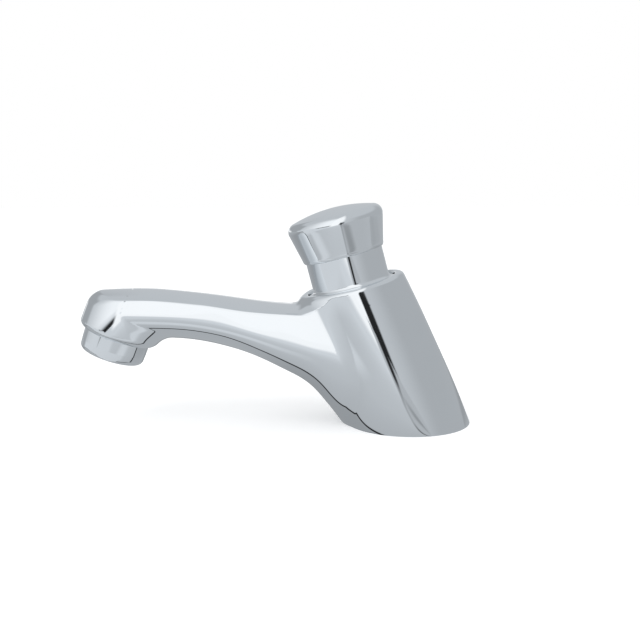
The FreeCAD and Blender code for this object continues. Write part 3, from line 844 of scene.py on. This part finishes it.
def studio():
    """White for the camera, even light for matt surfaces, and the cards above for reflections."""
    world = bpy.data.worlds.new("studio")
    bpy.context.scene.world = world
    world.use_nodes = True
    tree = world.node_tree
    azimuth, around, elevation = compass(tree)
    look = SKY
    for sides, heights, colour in CARDS:
        angle = around if sides[1] > 180 else azimuth
        shape = times(tree, window(tree, angle, *sides), window(tree, elevation, *heights))
        look = mix(tree, shape, look, colour)
    path = tree.nodes.new("ShaderNodeLightPath")
    plain = mix(tree, path.outputs["Is Glossy Ray"], MATT_LIGHT, look)
    colour = mix(tree, path.outputs["Is Camera Ray"], plain, WHITE)
    background = tree.nodes["Background"]
    tree.links.new(colour, background.inputs["Color"])
    background.inputs["Strength"].default_value = 1.0


# painted reflection of the table as polished metal sees it, darker near the tap for its painted soft shadow,
# in millimetres: x is towards the camera, the spout lies along -y
PAINTED_TABLE_TONES = [
    # distance towards the camera, brightness; it rises with distance from the tap, the tap's painted soft
    # shadow
    (-900, 0.45), (-250, 0.40), (-40, 0.31), (7.5, 0.34), (10.5, 0.47),
    (45, 0.53), (120, 0.57), (280, 0.69), (900, 0.69),
]
LINE_X = 9.0             # middle of the dark line under the spout
LINE_HALF = 1.9
GAP_LINE_Y = 10.0            # where the painted dark line of the gap beside the soft box starts, beside the foot


def shifted(tree, x, y):
    """Distance towards the camera, bent inwards at the foot and at the nose."""
    foot = times(tree, ease(tree, y, -42, -10), 12.0)
    nose_end = times(tree, ease(tree, y, -66, -82), 10.0)
    return minus(tree, x, plus(tree, foot, nose_end))


def painted_light_near_spout(tree, look, x, y, inward):
    """Painted light in the table's reflection: paler under the nose, and paler still in front of it, where
    the tap's painted soft shadow gives way.
    """
    pale = times(tree, window(tree, inward, -60, 7, 10, 0.5), ease(tree, y, -40, -80))
    look = mix(tree, pale, look, tone(0.43))
    front = math_node(tree, "MAXIMUM", window(tree, x, 46, 78, 9, 12), ease(tree, y, -115, -150))
    front = times(tree, front, times(tree, ease(tree, y, -45, -75), ease(tree, x, 5, 25)))
    return mix(tree, front, look, tone(0.67))


def far_table(tree, look, x, y):
    """The soft box's glow far off, the dimmer table behind the tap, and a darker patch on it."""
    ahead = times(tree, plus(tree, y, 50.0), -1.0)
    azimuth = degrees(tree, math_node(tree, "ARCTAN2", x, ahead))
    # painted light: the soft box's glow far off, drawn into the table's reflection
    glow = times(tree, window(tree, azimuth, 70, 95, 4, 1.5), ease(tree, x, 350, 750))
    look = mix(tree, glow, look, tone(1.0, 0.3))
    sideways = over(tree, x, plus(tree, math_node(tree, "ABSOLUTE", y), 60.0))
    behind = times(tree, ease(tree, y, 6, 14), ease(tree, sideways, -0.7, 0.5))
    look = mix(tree, behind, look, tone(0.475))
    patch = times(tree, window(tree, y, 30, 90, 14, 30), window(tree, x, 110, 210, 30, 60))
    return mix(tree, patch, look, tone(0.32))


def spout_line(tree, look, y, inward):
    """A dark line under the near edge of the spout, finer where it runs round the foot."""
    half = minus(tree, LINE_HALF, times(tree, ease(tree, y, -60, -22), 1.4))
    beside = over(tree, minus(tree, inward, LINE_X), half)
    return mix(tree, window(tree, beside, -1, 1, 0.35, 0.35), look, BLACK)


def painted_gap_line(tree, look, x, y):
    """Painted dark line of the dark gap beside the soft box, on the table: it starts at the foot and widens
    with distance.
    """
    far = times(tree, beyond(tree, x, 130.0), 0.15)
    off = minus(tree, minus(tree, y, GAP_LINE_Y), far)
    wide = times(tree, beyond(tree, x, 300.0), 0.03)
    width = plus(tree, plus(tree, times(tree, x, 0.03), 0.5), wide)
    across = over(tree, off, width)
    near = times(tree, ease(tree, x, 80, 40), 0.5)
    strength = times(tree, ease(tree, x, 150, 450), 0.78)
    strength = plus(tree, plus(tree, strength, near), 0.22)
    # painted dark line: the dark gap beside the soft box, drawn into the table's reflection
    on_line = times(tree, window(tree, across, -1, 1, 0.6, 0.6), ease(tree, x, 22, 28))
    return mix(tree, times(tree, on_line, strength), look, BLACK)


def painted_table_reflection(tree):
    """Painted reflection: brightness of the table where polished metal mirrors it, by place, with the tap's
    soft shadow painted in near it.
    """
    where = tree.nodes.new("ShaderNodeNewGeometry")
    split = tree.nodes.new("ShaderNodeSeparateXYZ")
    tree.links.new(where.outputs["Position"], split.inputs[0])
    x = times(tree, split.outputs[0], 1000.0)
    y = times(tree, split.outputs[1], 1000.0)
    inward = shifted(tree, x, y)
    look = tone(PAINTED_TABLE_TONES[0][1])
    for (a, _), (b, level) in zip(PAINTED_TABLE_TONES, PAINTED_TABLE_TONES[1:]):
        look = mix(tree, line_step(tree, inward, a, b), look, tone(level))
    look = painted_light_near_spout(tree, look, x, y, inward)
    look = far_table(tree, look, x, y)
    look = spout_line(tree, look, y, inward)
    return painted_gap_line(tree, look, x, y)


def floor_finish():
    """Pale matt floor; polished metal sees a painted reflection in it: an emitted pattern of painted light
    and shade, with the tap's soft shadow among it.
    """
    mat, tree, bsdf = node_material("floor")
    colour = ramp(tree, noise(tree, 60, 3.0), [(0.3, (0.94,)), (0.7, (0.96,))])
    tree.links.new(colour, bsdf.inputs["Base Color"])
    bsdf.inputs["Roughness"].default_value = 0.95
    bsdf.inputs["Specular IOR Level"].default_value = 0.1
    path = tree.nodes.new("ShaderNodeLightPath")
    lift = times(tree, path.outputs["Is Camera Ray"], 0.30)
    bsdf.inputs["Emission Color"].default_value = (*WHITE, 1)
    tree.links.new(lift, bsdf.inputs["Emission Strength"])
    # painted reflection: glossy rays see this emitted pattern of light and shade instead of the lit floor
    glow = tree.nodes.new("ShaderNodeEmission")
    tree.links.new(painted_table_reflection(tree), glow.inputs["Color"])
    choose = tree.nodes.new("ShaderNodeMixShader")
    tree.links.new(path.outputs["Is Glossy Ray"], choose.inputs[0])
    tree.links.new(bsdf.outputs[0], choose.inputs[1])
    tree.links.new(glow.outputs[0], choose.inputs[2])
    tree.links.new(choose.outputs[0], tree.nodes["Material Output"].inputs["Surface"])
    return mat


def floor():
    """Floor that keeps the tap's soft shadow."""
    size = 3.0
    corners = [(-size, -size, 0), (size, -size, 0), (size, size, 0), (-size, size, 0)]
    mesh = bpy.data.meshes.new("floor")
    mesh.from_pydata(corners, [], [(0, 1, 2, 3)])
    obj = bpy.data.objects.new("floor", mesh)
    bpy.context.scene.collection.objects.link(obj)
    mesh.materials.append(floor_finish())


def lamp(name, location, target, size, power):
    light = bpy.data.lights.new(name, "AREA")
    light.shape = "RECTANGLE"
    light.size = size
    light.size_y = size
    light.energy = power
    obj = bpy.data.objects.new(name, light)
    bpy.context.scene.collection.objects.link(obj)
    obj.location = location
    obj.rotation_euler = (Vector(target) - Vector(location)).to_track_quat("-Z", "Y").to_euler()
    obj.visible_glossy = False


tap_body()
tap_foot()
guide_sleeve()
button_cap()
aerator_ring()
return_spring()
finish_cad_nodes()
camera(87.0, 8.71468, 336.658, 889.615, (0, -33.5754, 39.3308))
studio()
floor()
lamp("key", (0.7, -0.5, 0.9), (0, -0.04, 0.03), 0.8, 3.0)

bpy.context.scene.view_settings.view_transform = "Standard"
